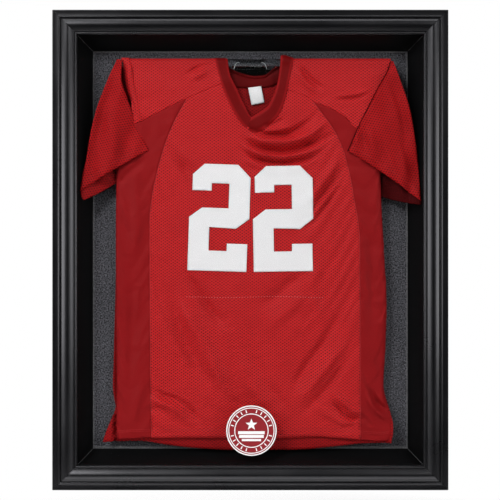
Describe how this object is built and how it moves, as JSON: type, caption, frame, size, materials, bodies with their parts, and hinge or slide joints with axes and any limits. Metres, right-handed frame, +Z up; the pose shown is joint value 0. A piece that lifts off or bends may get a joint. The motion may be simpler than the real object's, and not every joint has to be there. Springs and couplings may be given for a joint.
{
  "type": "jersey display frame",
  "caption": "Wall-hung black moulded display case with a hinged clear door, lined sides and a felt back, holding a red football jersey on a clear rod.",
  "frame": {"origin": "centre of the rear face of the back board, flush with the box rails' rear edges", "axes": "+Z up, +Y out of the rear face into the wall, +X to the right of a viewer who faces the door"},
  "size_m": [0.864, 0.0887, 1.048],
  "materials": {
    "black_lacquer": "satin black lacquer over profiled moulding",
    "black_liner": "flat black wrapped board",
    "charcoal_felt": "speckled charcoal felt",
    "hardboard": "raw brown hardboard",
    "clear_acrylic": "clear polished acrylic",
    "zinc_steel": "bright zinc plate",
    "magnet": "nickel plate",
    "rubber": "soft black rubber",
    "red_mesh": "red knitted mesh with small holes",
    "red_knit": "smooth dark red knit",
    "white_twill": "white tackle twill",
    "emblem_print": "white and red print on clear film"
  },
  "bodies": {
    "case": {"box_rail_left": "black_lacquer", "liner_left": "black_liner", "box_rail_right": "black_lacquer", "liner_right": "black_liner", "box_rail_top": "black_lacquer", "liner_top": "black_liner", "box_rail_bottom": "black_lacquer", "liner_bottom": "black_liner", "back_board": "hardboard", "backing_panel": "charcoal_felt", "hinge_upper_frame_leaf": "zinc_steel", "hinge_upper_pin": "zinc_steel", "hinge_upper_frame_screw_1": "zinc_steel", "hinge_upper_frame_screw_2": "zinc_steel", "catch_magnet_upper": "magnet", "hinge_lower_frame_leaf": "zinc_steel", "hinge_lower_pin": "zinc_steel", "hinge_lower_frame_screw_1": "zinc_steel", "hinge_lower_frame_screw_2": "zinc_steel", "catch_magnet_lower": "magnet", "rod_cradle": "clear_acrylic", "cradle_screw_left": "zinc_steel", "hanger_strap_left": "zinc_steel", "hanger_screw_left": "zinc_steel", "wall_bumper_left": "rubber", "cradle_screw_right": "zinc_steel", "hanger_strap_right": "zinc_steel", "hanger_screw_right": "zinc_steel", "wall_bumper_right": "rubber"},
    "door": {"door_rail_left": "black_lacquer", "pane_stop_left": "black_lacquer", "door_rail_right": "black_lacquer", "pane_stop_right": "black_lacquer", "door_rail_top": "black_lacquer", "pane_stop_top": "black_lacquer", "door_rail_bottom": "black_lacquer", "pane_stop_bottom": "black_lacquer", "acrylic_pane": "clear_acrylic", "emblem": "emblem_print", "hinge_upper_door_leaf": "zinc_steel", "hinge_upper_door_screw_1": "zinc_steel", "hinge_upper_door_screw_2": "zinc_steel", "catch_strike_upper": "zinc_steel", "hinge_lower_door_leaf": "zinc_steel", "hinge_lower_door_screw_1": "zinc_steel", "hinge_lower_door_screw_2": "zinc_steel", "catch_strike_lower": "zinc_steel"},
    "rod_and_jersey": {"display_rod": "clear_acrylic", "jersey_front": "red_mesh", "jersey_back": "red_mesh", "jersey_shoulder_left": "red_mesh", "jersey_shoulder_right": "red_mesh", "jersey_sleeve_left": "red_mesh", "jersey_sleeve_right": "red_mesh", "jersey_collar": "red_knit", "jersey_number_left": "white_twill", "jersey_number_right": "white_twill", "neck_label": "white_twill"},
    "hanger_ring_left": {"hanger_ring_left": "zinc_steel"},
    "hanger_ring_right": {"hanger_ring_right": "zinc_steel"}
  },
  "joints": [
    {"name": "door_hinge", "type": "hinge", "parent": "case", "child": "door", "pos_m": [-0.4253, -0.0607, 0], "axis": [0, 0, -1], "range_deg": [0, 110]},
    {"name": "rod_lift", "type": "slide", "parent": "case", "child": "rod_and_jersey", "axis": [0, 0, 1], "range_m": [0, 0.012]},
    {"name": "hanger_ring_left_swivel", "type": "hinge", "parent": "case", "child": "hanger_ring_left", "pos_m": [-0.416, 0.003, 0.33], "axis": [1, 0, 0], "range_deg": [0, 180]},
    {"name": "hanger_ring_right_swivel", "type": "hinge", "parent": "case", "child": "hanger_ring_right", "pos_m": [0.416, 0.003, 0.33], "axis": [1, 0, 0], "range_deg": [0, 180]}
  ]
}
